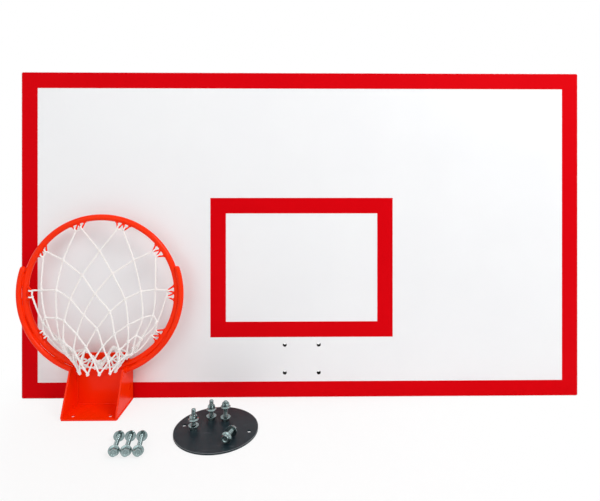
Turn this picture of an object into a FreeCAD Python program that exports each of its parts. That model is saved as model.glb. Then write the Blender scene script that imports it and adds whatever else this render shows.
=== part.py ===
"""Basketball backboard set, laid out the way it is unpacked.

A painted panel stands upright on its long edge. In front of it a fixed rim with its net stands
on its mounting plate, a round steel plate lies flat with four bolts on it, and three longer
bolts lie beside the rim. Millimetres, +Z up, +X to the right along the panel, and the panel's
front face looks towards -Y. The origin is the middle of the panel's foot.
"""
import FreeCAD
import Part
import Sketcher
import math
import os

Vector = FreeCAD.Vector
Rotation = FreeCAD.Rotation
Placement = FreeCAD.Placement

# Driving dimensions, in millimetres and degrees
DRIVING = {
    "board_width": 1800.0,
    "board_height": 1050.0,
    "board_thickness": 21.0,
    "board_corner": 6.0,
    "film_thickness": 0.4,
    "film_inset": 1.5,
    "line_width": 50.0,
    "target_width": 590.0,
    "target_height": 450.0,
    "target_bottom": 195.0,
    "rim_hole_across": 110.0,
    "rim_hole_up": 90.0,
    "rim_hole_bore": 13.0,
    "rim_hole_height": 125.0,
    "rim_place": -623.0,
    "rim_stand_off": 6.0,
    "mount_plate_width": 164.0,
    "mount_plate_thickness": 5.0,
    "mount_plate_margin": 20.0,
    "mount_plate_corner": 4.0,
    "bracket_sheet": 5.0,
    "ring_bore": 450.0,
    "ring_bar": 19.0,
    "ring_reach": 127.0,
    "ring_level": 76.0,
    "weld_gap": 0.3,
    "gusset_top": 128.0,
    "gusset_nose": 80.0,
    "gusset_land": 6.0,
    "gusset_corner": 15.0,
    "brace_bar": 16.0,
    "brace_offset": 14.5,
    "brace_end": 108.0,
    "hook_wire": 5.0,
    "hook_width": 44.0,
    "hook_depth": 16.0,
    "hook_slant": 25.0,
    "hook_blunt": 5.0,
    "hook_foot_share": 0.45,
    "net_cord": 5.4,
    "net_knot": 9.6,
    "net_knot_length": 11.0,
    "net_seat_gap": 0.3,
    "net_end_width": 112.0,
    "net_end_depth": 50.0,
    "net_end_height": 128.0,
    "net_end_shift": 6.0,
    "net_end_front": 104.0,
    "net_slack": 20.0,
    "round_plate_diameter": 234.0,
    "round_plate_thickness": 5.0,
    "round_plate_pitch": 190.0,
    "round_plate_bore": 13.0,
    "round_plate_x": -243.0,
    "round_plate_y": -196.5,
    "round_plate_turn": -9.8,
    "thread_diameter": 12.0,
    "thread_chamfer": 1.2,
    "thread_clearance": 0.05,
    "hexagon_across": 19.0,
    "head_height": 11.5,
    "head_dish_diameter": 13.0,
    "head_dish_depth": 1.6,
    "flange_diameter": 29.0,
    "flange_edge": 1.8,
    "flange_cone": 2.6,
    "nut_height": 12.0,
    "short_bolt_length": 45.0,
    "long_bolt_length": 80.0,
    "long_nut_height": 64.0,
    "long_row_x": -481.0,
    "long_row_y": -313.7,
    "long_row_pitch": 30.5,
    "long_row_turn": 11.0,
    "resting_gap": 0.3,
}

HOOK_COUNT = 10
NET_ROWS = 8
NET_ROW_EASE = 1.35
NET_SLACK_REACH = 4
CORD_SIDES = 6
WIRE_SIDES = 8
LONG_BOLT_COUNT = 3

# The three bolts that stand on the round plate: place from its middle, and how far up the nut is
STANDING_BOLTS = ((-62.5, -4.5, 15.0), (-22.0, 45.0, 18.0), (20.0, 39.0, 28.0))

# The bolt that lies on the round plate: place of its head from the middle, turn and nut
LYING_BOLT = (36.5, -82.0, -18.0, 30.0)

UPRIGHT = Rotation(Vector(1, 0, 0), 90)
SIDEWAYS = Rotation(Vector(1, 1, 1), 120)


class Size:
    """A length that carries its number and the sheet expression that gives it."""

    def __init__(self, value, text):
        self.value = value
        self.text = text

    def __add__(self, other):
        other = as_size(other)
        return Size(self.value + other.value, f"({self.text} + {other.text})")

    def __sub__(self, other):
        other = as_size(other)
        return Size(self.value - other.value, f"({self.text} - {other.text})")

    def __mul__(self, other):
        other = as_size(other)
        return Size(self.value * other.value, f"({self.text} * {other.text})")

    def __truediv__(self, other):
        other = as_size(other)
        return Size(self.value / other.value, f"({self.text} / {other.text})")

    def root(self):
        return Size(math.sqrt(self.value), f"sqrt({self.text})")

    def cosine(self):
        return Size(math.cos(math.radians(self.value)), f"cos({self.text})")


def as_size(value):
    if isinstance(value, Size):
        return value
    return Size(float(value), repr(float(value)))


def size(alias):
    return Size(DRIVING[alias], "sizes." + alias)


def bind(thing, path, amount):
    thing.setExpression(path, as_size(amount).text)


def place(thing, x, y, z, rotation=Rotation()):
    """Puts a piece at a point that follows the sheet."""
    point = [as_size(v) for v in (x, y, z)]
    thing.Placement = Placement(Vector(*[p.value for p in point]), rotation)
    for axis, amount in zip("xyz", point):
        bind(thing, "Placement.Base." + axis, amount)


doc = FreeCAD.newDocument("backboard_set")
sheet = doc.addObject("Spreadsheet::Sheet", "sizes")
for row, (alias, number) in enumerate(DRIVING.items(), 1):
    sheet.set(f"A{row}", alias)
    sheet.set(f"B{row}", str(number))
    sheet.setAlias(f"B{row}", alias)
doc.recompute()

pieces = []


def keep(thing, label):
    """Names a finished piece, which is written to a file of that name."""
    thing.Label = label
    pieces.append(thing)
    return thing


# Sketches and bodies

def flat_body(name, role="XY_Plane"):
    """A body with an empty sketch on one of its own planes, the ground plane as a rule."""
    body = doc.addObject("PartDesign::Body", name + "_body")
    sketch = body.newObject("Sketcher::SketchObject", name + "_sketch")
    plane = [f for f in body.Origin.OriginFeatures if f.Role == role][0]
    sketch.AttachmentSupport = [(plane, "")]
    sketch.MapMode = "FlatFace"
    return body, sketch


def measure(sketch, kind, ends, amount):
    """Adds a dimension to a sketch and ties it to the sheet."""
    index = sketch.addConstraint(Sketcher.Constraint(kind, *ends, amount.value))
    bind(sketch, f"Constraints[{index}]", amount)


def pin(sketch, curve, end, x, y):
    """Fixes a sketch point by its distances from the sketch's origin."""
    for amount, kind, axis in ((as_size(x), "DistanceX", -2), (as_size(y), "DistanceY", -1)):
        if amount.value:
            measure(sketch, kind, (-1, 1, curve, end), amount)
        else:
            sketch.addConstraint(Sketcher.Constraint("PointOnObject", curve, end, axis))


def outline(sketch, corners):
    """Draws a closed outline of straight edges through the corners."""
    points = [Vector(as_size(x).value, as_size(y).value, 0) for x, y in corners]
    first = sketch.GeometryCount
    for start, end in zip(points, points[1:] + points[:1]):
        sketch.addGeometry(Part.LineSegment(start, end), False)
    for i in range(len(points)):
        following = first + (i + 1) % len(points)
        sketch.addConstraint(Sketcher.Constraint("Coincident", first + i, 2, following, 1))
    for i, (x, y) in enumerate(corners):
        pin(sketch, first + i, 1, x, y)


def rectangle(sketch, left, bottom, right, top):
    outline(sketch, ((left, bottom), (right, bottom), (right, top), (left, top)))


def circle(sketch, x, y, diameter):
    centre = Vector(as_size(x).value, as_size(y).value, 0)
    curve = sketch.addGeometry(Part.Circle(centre, Vector(0, 0, 1), diameter.value / 2), False)
    pin(sketch, curve, 3, x, y)
    measure(sketch, "Diameter", (curve,), diameter)


def pad(body, sketch, height):
    feature = body.newObject("PartDesign::Pad", sketch.Name + "_pad")
    feature.Profile = sketch
    bind(feature, "Length", height)
    doc.recompute()
    return feature


def round_corners(body, feature, points, radius):
    """Rounds the upright edges of a pad that stand at the given points."""
    names = []
    for number, edge in enumerate(feature.Shape.Edges, 1):
        ends = [v.Point for v in edge.Vertexes]
        if len(ends) < 2 or abs(ends[0].z - ends[1].z) < 1e-6:
            continue
        near = [p for p in points if math.hypot(ends[0].x - p[0], ends[0].y - p[1]) < 1e-4]
        if near:
            names.append(f"Edge{number}")
    fillet = body.newObject("PartDesign::Fillet", feature.Name + "_corners")
    fillet.Base = (feature, names)
    bind(fillet, "Radius", radius)
    doc.recompute()


def corners_of(width, height):
    return [(x, y) for x in (0.0, width.value) for y in (0.0, height.value)]


# The panel with its film lines

board_width = size("board_width")
board_height = size("board_height")
board_thickness = size("board_thickness")
hole_across = size("rim_hole_across")
hole_up = size("rim_hole_up")
hole_bore = size("rim_hole_bore")
line = size("line_width")
board_front = board_thickness / -2


def make_panel():
    body, sketch = flat_body("panel")
    rectangle(sketch, 0, 0, board_width, board_height)
    for side in (-0.5, 0.5):
        for row in (-0.5, 0.5):
            x = board_width / 2 + hole_across * side
            circle(sketch, x, size("rim_hole_height") + hole_up * row, hole_bore)
    feature = pad(body, sketch, board_thickness)
    round_corners(body, feature, corners_of(board_width, board_height), size("board_corner"))
    place(body, board_width / -2, board_thickness / 2, 0, UPRIGHT)
    return keep(body, "board_panel")


def make_film(label, width, height, bottom, corner=None):
    """A rectangular line of film on the panel's front face."""
    body, sketch = flat_body(label)
    rectangle(sketch, 0, 0, width, height)
    rectangle(sketch, line, line, width - line, height - line)
    feature = pad(body, sketch, size("film_thickness"))
    if corner:
        round_corners(body, feature, corners_of(width, height), corner)
    place(body, width / -2, board_front, bottom, UPRIGHT)
    return keep(body, label)


inset = size("film_inset")
make_panel()
make_film("border_line", board_width - inset * 2, board_height - inset * 2, inset,
          size("board_corner") - inset)
make_film("target_square", size("target_width"), size("target_height"), size("target_bottom"))

# The rim: a welded bracket that stands on its mounting plate

rim_x = size("rim_place")
plate_width = size("mount_plate_width")
plate_thickness = size("mount_plate_thickness")
plate_margin = size("mount_plate_margin")
plate_depth = hole_up + plate_margin * 2
plate_rear = board_front - size("rim_stand_off")
plate_front = plate_rear - plate_depth
bracket_sheet = size("bracket_sheet")
weld_gap = size("weld_gap")
ring_bar = size("ring_bar")
bar_radius = ring_bar / 2
ring_mean = size("ring_bore") / 2 + bar_radius
ring_top_y = plate_front + plate_margin + size("ring_level")
ring_y = ring_top_y - bar_radius
ring_z = size("ring_reach") + size("ring_bore") / 2


def make_mount_plate():
    body, sketch = flat_body("mount_plate")
    rectangle(sketch, 0, 0, plate_width, plate_depth)
    for side in (-0.5, 0.5):
        for row in (0, 1):
            x = plate_width / 2 + hole_across * side
            circle(sketch, x, plate_margin + hole_up * row, hole_bore)
    feature = pad(body, sketch, plate_thickness)
    corner = size("mount_plate_corner")
    round_corners(body, feature, corners_of(plate_width, plate_depth), corner)
    place(body, rim_x - plate_width / 2, plate_front, 0)
    return keep(body, "mount_plate")


def make_top_plate():
    """The web between the gussets, whose upper edge follows the ring's bar."""
    body, sketch = flat_body("top_plate")
    width = plate_width - bracket_sheet * 2
    centre_height = ring_z - plate_thickness
    reach = ring_mean + (ring_bar * bracket_sheet - bracket_sheet * bracket_sheet).root() + weld_gap
    side_height = centre_height - (reach * reach - width * width / 4).root()
    right = Vector(width.value, side_height.value, 0)
    left = Vector(0, side_height.value, 0)
    lowest = Vector(width.value / 2, centre_height.value - reach.value, 0)
    sketch.addGeometry(Part.LineSegment(Vector(0, 0, 0), Vector(width.value, 0, 0)), False)
    sketch.addGeometry(Part.LineSegment(Vector(width.value, 0, 0), right), False)
    sketch.addGeometry(Part.Arc(left, lowest, right), False)
    sketch.addGeometry(Part.LineSegment(left, Vector(0, 0, 0)), False)
    for ends in ((0, 2, 1, 1), (1, 2, 2, 2), (2, 1, 3, 1), (3, 2, 0, 1)):
        sketch.addConstraint(Sketcher.Constraint("Coincident", *ends))
    sketch.addConstraint(Sketcher.Constraint("Coincident", 0, 1, -1, 1))
    sketch.addConstraint(Sketcher.Constraint("Vertical", 1))
    sketch.addConstraint(Sketcher.Constraint("Vertical", 3))
    pin(sketch, 0, 2, width, 0)
    pin(sketch, 2, 3, width / 2, centre_height)
    measure(sketch, "Radius", (2,), reach)
    pad(body, sketch, bracket_sheet)
    place(body, rim_x - width / 2, ring_top_y, plate_thickness, UPRIGHT)
    return keep(body, "top_plate")


def make_ring(name, bar_allowance):
    ring = doc.addObject("Part::Torus", name)
    bind(ring, "Radius1", ring_mean)
    bind(ring, "Radius2", bar_radius + bar_allowance)
    place(ring, rim_x, ring_y, ring_z, UPRIGHT)
    return ring


def make_gusset(label, left_face):
    """A side cheek, notched where the ring's bar lies in its end."""
    body, sketch = flat_body(label)
    top = size("gusset_top") - plate_thickness
    nose_front = plate_depth - size("gusset_nose")
    outline(sketch, ((0, 0), (plate_depth, 0), (plate_depth, top), (nose_front, top),
                     (0, size("gusset_land"))))
    feature = pad(body, sketch, bracket_sheet)
    rear_corner = [(plate_depth.value, top.value)]
    round_corners(body, feature, rear_corner, size("gusset_corner"))
    place(body, left_face, plate_front, plate_thickness, SIDEWAYS)
    notch = doc.addObject("Part::Cut", label + "_notched")
    notch.Base = body
    notch.Tool = make_ring(label + "_notch", weld_gap)
    return keep(notch, label)


def make_brace(label, side):
    """A bar that runs from a gusset along the ring's outer underside to a rounded free end."""
    radius = size("brace_bar") / 2
    offset = size("brace_offset")
    touch = bar_radius + radius + weld_gap
    brace_y = ring_y - (touch * touch - offset * offset).root()
    mean = ring_mean + offset
    sweep = size("brace_end")
    arm = doc.addObject("Part::Torus", label + "_arm")
    bind(arm, "Radius1", mean)
    bind(arm, "Radius2", radius)
    bind(arm, "Angle3", sweep)
    start = -90.0 if side > 0 else -90.0 - sweep.value
    place(arm, rim_x, brace_y, ring_z, UPRIGHT.multiply(Rotation(Vector(0, 0, 1), start)))
    tip = doc.addObject("Part::Sphere", label + "_tip")
    bind(tip, "Radius", radius)
    up = as_size(90) - sweep
    along = (sweep - 90).cosine()
    place(tip, rim_x + mean * along * side, brace_y, ring_z - mean * up_sine(up))
    whole = doc.addObject("Part::Fuse", label + "_whole")
    whole.Base = arm
    whole.Tool = tip
    clear = doc.addObject("Part::Box", label + "_clear")
    bind(clear, "Length", plate_width + weld_gap * 2)
    bind(clear, "Width", radius * 4)
    bind(clear, "Height", mean + radius * 2)
    left = rim_x - plate_width / 2 - weld_gap
    place(clear, left, brace_y - radius * 2, ring_z - mean - radius * 2)
    brace = doc.addObject("Part::Cut", label + "_cut")
    brace.Base = whole
    brace.Tool = clear
    return keep(brace, label)


def up_sine(angle):
    """The sine of an angle, as the cosine of what is left to a right angle."""
    return (as_size(90) - angle).cosine()


make_mount_plate()
make_top_plate()
make_gusset("left_gusset", rim_x - plate_width / 2)
make_gusset("right_gusset", rim_x + plate_width / 2 - bracket_sheet)
keep(make_ring("hoop", 0), "ring")
make_brace("left_brace", -1)
make_brace("right_brace", 1)

# The net hooks: wires bent to a W, welded to the ring's inner underside

hook_wire = DRIVING["hook_wire"]
hook_slant = math.radians(DRIVING["hook_slant"])
hook_step = 2 * math.pi / HOOK_COUNT
hook_tip = bar_radius.value + DRIVING["hook_depth"]
ring_centre = Vector(rim_x.value, ring_y.value, ring_z.value)


def hook_point(angle, along, out):
    """A point by the ring: its angle from the top, the run along the bar and the way out of it."""
    turn = angle + along / ring_mean.value
    radius = ring_mean.value - out * math.cos(hook_slant)
    spoke = Vector(math.sin(turn), 0, math.cos(turn)) * radius
    return ring_centre + spoke - Vector(0, out * math.sin(hook_slant), 0)


def cross_section(centre, way, radius, sides):
    """Corners of a regular polygon across a wire or a cord."""
    helper = Vector(0, 1, 0) if abs(way.y) < 0.9 else Vector(1, 0, 0)
    side = way.cross(helper).normalize()
    other = side.cross(way).normalize()
    turns = [2 * math.pi * number / sides for number in range(sides)]
    return [centre + side * (radius * math.cos(t)) + other * (radius * math.sin(t)) for t in turns]


def strand(stations, sides):
    """A wire or a cord in straight mitred runs through points, each with its radius there."""
    last = len(stations) - 1
    way = (stations[1][0] - stations[0][0]).normalize()
    sections = [cross_section(stations[0][0], way, stations[0][1], sides)]
    for index in range(1, last + 1):
        point, radius = stations[index]
        run = (point - stations[index - 1][0]).normalize()
        mitre = run
        if index < last:
            mitre = (run + (stations[index + 1][0] - point).normalize()).normalize()
        grow = radius / stations[index - 1][1]
        corners = []
        for corner in sections[-1]:
            reach = (point - corner).dot(mitre) / run.dot(mitre)
            corners.append(point + (corner + run * reach - point) * grow)
        sections.append(corners)
    loops = [sections[0], sections[-1]]
    for first, second in zip(sections, sections[1:]):
        for i in range(sides):
            j = (i + 1) % sides
            loops.append([first[i], first[j], second[j], second[i]])
    faces = [Part.Face(Part.makePolygon(loop + loop[:1])) for loop in loops]
    shell = Part.makeShell(faces)
    shell.sewShape()
    solid = Part.makeSolid(shell)
    if solid.Volume < 0:
        solid.reverse()
    return solid


def make_hooks():
    """Each wire leaves the bar, turns at two blunt tips and dips to the bar between them."""
    quarter = DRIVING["hook_width"] / 4
    blunt = DRIVING["hook_blunt"] / 2
    radius = hook_wire / 2
    valley = bar_radius.value + DRIVING["weld_gap"] + radius
    foot = bar_radius.value + DRIVING["weld_gap"] + radius * DRIVING["hook_foot_share"]
    half = ((blunt, valley), (quarter - blunt, hook_tip), (quarter + blunt, hook_tip), (2 * quarter, foot))
    profile = [(-run, out) for run, out in half[::-1]] + list(half)
    hooks = []
    for number in range(HOOK_COUNT):
        angle = (number + 0.5) * hook_step
        stations = [(hook_point(angle, run, out), radius) for run, out in profile]
        hooks.append(strand(stations, WIRE_SIDES))
    group = doc.addObject("Part::Feature", "hooks")
    group.Shape = Part.makeCompound(hooks)
    return keep(group, "net_hooks")


make_hooks()

# The net: one cord over each hook, knotted to its neighbours in rows down to a narrow end

cord_radius = DRIVING["net_cord"] / 2
knot_radius = DRIVING["net_knot"] / 2
seat_out = hook_tip + hook_wire / 2 + DRIVING["net_seat_gap"] + cord_radius


def net_point(angle, row):
    """A point of the drooping net by its angle from the top and its row from the hooks down."""
    down = row / NET_ROWS
    share = down * (NET_ROW_EASE - (NET_ROW_EASE - 1) * down)
    mouth = hook_point(angle, 0, seat_out)
    end_x = rim_x.value + DRIVING["net_end_shift"] + DRIVING["net_end_width"] / 2 * math.sin(angle)
    end_y = -DRIVING["net_end_front"] - DRIVING["net_end_depth"] / 2 * math.cos(angle)
    end = Vector(end_x, end_y, DRIVING["net_end_height"])
    low = (1 - math.cos(angle)) / 2
    slack = DRIVING["net_slack"] * low ** NET_SLACK_REACH * math.sin(math.pi * share)
    return mouth * (1 - share) + end * share + Vector(0, 0, slack)


def cord_route(number):
    """The points of one cord, from its one end up over the hook's tips and down to the other."""
    angle = (number + 0.5) * hook_step
    tip = DRIVING["hook_width"] / 4
    halves = []
    for side in (-1, 1):
        half = [hook_point(angle, side * (tip - cord_radius), seat_out)]
        half.append(hook_point(angle, side * (tip + cord_radius), seat_out + cord_radius))
        for row in range(1, NET_ROWS + 1):
            half.append(net_point(angle + side * row * hook_step / 2, row))
        halves.append(half)
    return [(point, cord_radius) for point in halves[0][::-1] + halves[1]]


def knot(angle, row):
    """The lump where two cords are tied, drawn out along the net."""
    point = net_point(angle, row)
    down = (net_point(angle, row + 0.1) - net_point(angle, row - 0.1)).normalize()
    half = down * (DRIVING["net_knot_length"] / 2)
    return strand([(point - half, cord_radius), (point, knot_radius), (point + half, cord_radius)], CORD_SIDES)


def make_net():
    """One piece: the cords run through their knots."""
    cords = [strand(cord_route(number), CORD_SIDES) for number in range(HOOK_COUNT)]
    knots = []
    for row in range(1, NET_ROWS):
        for number in range(HOOK_COUNT):
            knots.append(knot((number + 0.5 + row / 2) * hook_step, row))
    group = doc.addObject("Part::Feature", "net_cords")
    group.Shape = cords[0].multiFuse(cords[1:] + knots).removeSplitter()
    return keep(group, "net")


make_net()

# The round plate

round_x = size("round_plate_x")
round_y = size("round_plate_y")
round_thickness = size("round_plate_thickness")


def make_round_plate():
    body, sketch = flat_body("round_plate")
    circle(sketch, 0, 0, size("round_plate_diameter"))
    circle(sketch, size("round_plate_pitch") / 2, 0, size("round_plate_bore"))
    radius = DRIVING["round_plate_bore"] / 2
    far = Vector(-DRIVING["round_plate_pitch"] / 2, 0, 0)
    curve = sketch.addGeometry(Part.Circle(far, Vector(0, 0, 1), radius), False)
    sketch.addConstraint(Sketcher.Constraint("Symmetric", 1, 3, curve, 3, -1, 1))
    sketch.addConstraint(Sketcher.Constraint("Equal", 1, curve))
    pad(body, sketch, round_thickness)
    turn = Rotation(Vector(0, 0, 1), DRIVING["round_plate_turn"])
    place(body, round_x, round_y, 0, turn)
    return keep(body, "round_plate")


make_round_plate()

# Flange bolts and flange nuts: a bolt runs along its own +Z from the outer face of its head

thread = size("thread_diameter")
hexagon = size("hexagon_across")
head_height = size("head_height")
nut_height = size("nut_height")
flange = size("flange_diameter")
flange_edge = size("flange_edge")
flange_cone = size("flange_cone")


def prism(name, height):
    """A hexagonal prism of the bolts' size across its flats."""
    thing = doc.addObject("Part::Prism", name)
    thing.Polygon = 6
    bind(thing, "Circumradius", hexagon / as_size(3).root())
    bind(thing, "Height", height)
    return thing


def turned(name, profile):
    """A turned piece: an outline of radii and heights swung round the +Z axis."""
    body, sketch = flat_body(name, "XZ_Plane")
    outline(sketch, profile)
    feature = body.newObject("PartDesign::Revolution", name + "_turned")
    feature.Profile = sketch
    feature.ReferenceAxis = (sketch, ["V_Axis"])
    feature.Angle = 360
    doc.recompute()
    return body


def joined(name, kind, base, tool):
    thing = doc.addObject(kind, name)
    thing.Base = base
    thing.Tool = tool
    return thing


def make_bolt(name, length):
    """A dished hexagon head on a coned flange, with a chamfered shank."""
    radius = thread / 2
    chamfer = size("thread_chamfer")
    end = head_height + length
    cone_start = head_height - flange_edge - flange_cone
    profile = ((0, cone_start), (hexagon / 2, cone_start), (flange / 2, head_height - flange_edge),
               (flange / 2, head_height), (radius, head_height), (radius, end - chamfer),
               (radius - chamfer, end), (0, end))
    shank = turned(name + "_shank", profile)
    head = prism(name + "_head", head_height - flange_edge)
    whole = joined(name + "_whole", "Part::Fuse", shank, head)
    dish = doc.addObject("Part::Cone", name + "_dish")
    bind(dish, "Radius1", size("head_dish_diameter") / 2)
    bind(dish, "Radius2", size("head_dish_diameter") / 2 - size("head_dish_depth"))
    bind(dish, "Height", size("head_dish_depth"))
    return joined(name + "_dished", "Part::Cut", whole, dish)


def make_nut(name):
    """A hexagon nut on a coned flange, which faces the bolt's head."""
    bore = thread / 2 + size("thread_clearance")
    cone_end = flange_edge + flange_cone
    profile = ((0, 0), (flange / 2, 0), (flange / 2, flange_edge), (hexagon / 2, cone_end), (0, cone_end))
    whole = joined(name + "_whole", "Part::Fuse", turned(name + "_skirt", profile),
                   prism(name + "_body", nut_height))
    hole = doc.addObject("Part::Cylinder", name + "_bore")
    bind(hole, "Radius", bore)
    bind(hole, "Height", nut_height)
    return joined(name + "_bored", "Part::Cut", whole, hole)


def fit(kind, number, frame, nut_up):
    """Sets one bolt in its frame, with its nut a distance up from the flange."""
    bolt = make_bolt(f"{kind}_{number}", size(kind + "_bolt_length"))
    bolt.Placement = frame
    keep(bolt, f"{kind}_bolt_{number}")
    nut = make_nut(f"{kind}_nut_{number}")
    up = Placement(Vector(0, 0, head_height.value + nut_up), Rotation())
    nut.Placement = frame.multiply(up)
    keep(nut, f"{kind}_nut_{number}")


def lying(x, y, z, turn):
    """A frame whose +Z lies level, turned about the vertical from +Y, with a flat side down."""
    level = Rotation(Vector(1, 0, 0), -90)
    flat_down = Rotation(Vector(0, 0, 1), 30)
    facing = Rotation(Vector(0, 0, 1), turn)
    return Placement(Vector(x, y, z), facing.multiply(level).multiply(flat_down))


def make_short_bolts():
    """Three bolts stand on their heads on the round plate, and one lies on its flanges."""
    floor = round_thickness.value
    for number, (x, y, nut_up) in enumerate(STANDING_BOLTS, 1):
        point = Vector(round_x.value + x, round_y.value + y, floor)
        fit("short", number, Placement(point, Rotation()), nut_up)
    x, y, turn, nut_up = LYING_BOLT
    height = floor + flange.value / 2 + DRIVING["resting_gap"]
    frame = lying(round_x.value + x, round_y.value + y, height, turn)
    fit("short", len(STANDING_BOLTS) + 1, frame, nut_up)


def make_long_bolts():
    """Three bolts lie side by side on the floor, on the rims of their flanges."""
    turn = DRIVING["long_row_turn"]
    back = Vector(-math.sin(math.radians(turn)), math.cos(math.radians(turn)), 0) * head_height.value
    for number in range(LONG_BOLT_COUNT):
        x = DRIVING["long_row_x"] + number * DRIVING["long_row_pitch"] - back.x
        y = DRIVING["long_row_y"] - back.y
        fit("long", number + 1, lying(x, y, flange.value / 2, turn), DRIVING["long_nut_height"])


make_short_bolts()
make_long_bolts()

# Checking and writing

doc.recompute()
faults = [thing.Name for thing in doc.Objects if {"Invalid", "Error"} & set(thing.State)]
for piece in pieces:
    if piece.Shape.isNull() or not piece.Shape.isValid() or not piece.Shape.Solids:
        faults.append(piece.Label)
if faults:
    raise RuntimeError("these did not build: " + ", ".join(faults))

os.makedirs("parts", exist_ok=True)
for piece in pieces:
    piece.Shape.exportStep(os.path.join("parts", piece.Label + ".step"))
print(len(pieces), "pieces")
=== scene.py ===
"""Looks of the unpacked basketball backboard set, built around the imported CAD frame.

Lengths are metres in the CAD frame: +Z up, +X to the right along the board, and the board's front
face looks towards -Y.
"""

import logging
import math
from dataclasses import dataclass, field
from enum import Enum
from typing import Callable, Optional, Sequence

import bpy
from mathutils import Matrix, Vector


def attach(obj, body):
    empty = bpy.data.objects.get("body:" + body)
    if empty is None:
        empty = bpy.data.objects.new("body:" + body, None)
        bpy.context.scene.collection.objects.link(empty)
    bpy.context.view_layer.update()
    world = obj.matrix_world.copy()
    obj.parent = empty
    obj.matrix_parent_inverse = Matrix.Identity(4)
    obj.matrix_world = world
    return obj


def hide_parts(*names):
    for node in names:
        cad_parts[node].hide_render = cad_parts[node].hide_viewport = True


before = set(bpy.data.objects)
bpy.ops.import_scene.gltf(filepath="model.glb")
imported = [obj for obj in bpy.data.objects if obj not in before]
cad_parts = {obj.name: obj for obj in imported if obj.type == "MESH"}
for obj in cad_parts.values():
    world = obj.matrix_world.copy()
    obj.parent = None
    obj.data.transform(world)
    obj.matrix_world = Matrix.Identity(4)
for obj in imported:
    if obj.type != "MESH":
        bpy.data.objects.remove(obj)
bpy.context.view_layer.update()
LOG = logging.getLogger("backboard_set")
MM = 0.001

Mesh = tuple[list[Vector], list[tuple[int, ...]]]
Outline = Callable[[float], float]
Section = Callable[[float, float], float]
Place = tuple[float, float, float]
Span = tuple[float, float]
Sockets = dict[str, bpy.types.NodeSocket]

# A mix node's colour sockets share their names with other kinds, so they are told by number
MIX_SHARE, MIX_FIRST, MIX_SECOND, MIX_RESULT = 0, 6, 7, 2

# The round plate's middle and upper face, for its paint and for the bolts on it
DISC_MIDDLE: Span = (-0.243, -0.1965)
DISC_TOP_MM = 5.0


class Slot(Enum):
    """The record's material slots, by name."""

    RIM = "rim_paint"
    NET = "net_cord"
    ZINC = "zinc_plate"


class Stand(Enum):
    """How a bolt is left on what carries it."""

    ON_HEAD = "on_head"
    LYING = "lying"


# Colour and shader helpers

def linear(colour: str) -> tuple[float, float, float, float]:
    """Turns an sRGB hex value into a linear colour.

    Args:
        colour: Six hex digits after a hash sign.

    Returns:
        Red, green, blue and an alpha of one.
    """
    parts = [int(colour[i:i + 2], 16) / 255 for i in (1, 3, 5)]
    flat = [p / 12.92 if p <= 0.04045 else ((p + 0.055) / 1.055) ** 2.4 for p in parts]
    return flat[0], flat[1], flat[2], 1.0


def add_node(tree: bpy.types.NodeTree, kind: str, settings: Optional[dict] = None,
             values: Optional[dict] = None, links: Optional[dict] = None) -> bpy.types.Node:
    """Adds one node to a shader.

    Args:
        tree: The material's node tree.
        kind: The node's type name.
        settings: Attributes of the node.
        values: Constants for its input sockets, by name or number.
        links: Sockets that feed its inputs, by name or number.

    Returns:
        The new node.
    """
    node = tree.nodes.new(kind)
    for name, value in (settings or {}).items():
        setattr(node, name, value)
    for name, value in (values or {}).items():
        node.inputs[name].default_value = value
    for name, socket in (links or {}).items():
        tree.links.new(socket, node.inputs[name])
    return node


def per_metre(millimetres: float) -> float:
    """Gives the texture scale whose features are about this many millimetres wide."""
    return 1.0 / (millimetres * MM)


# Finishes

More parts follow.
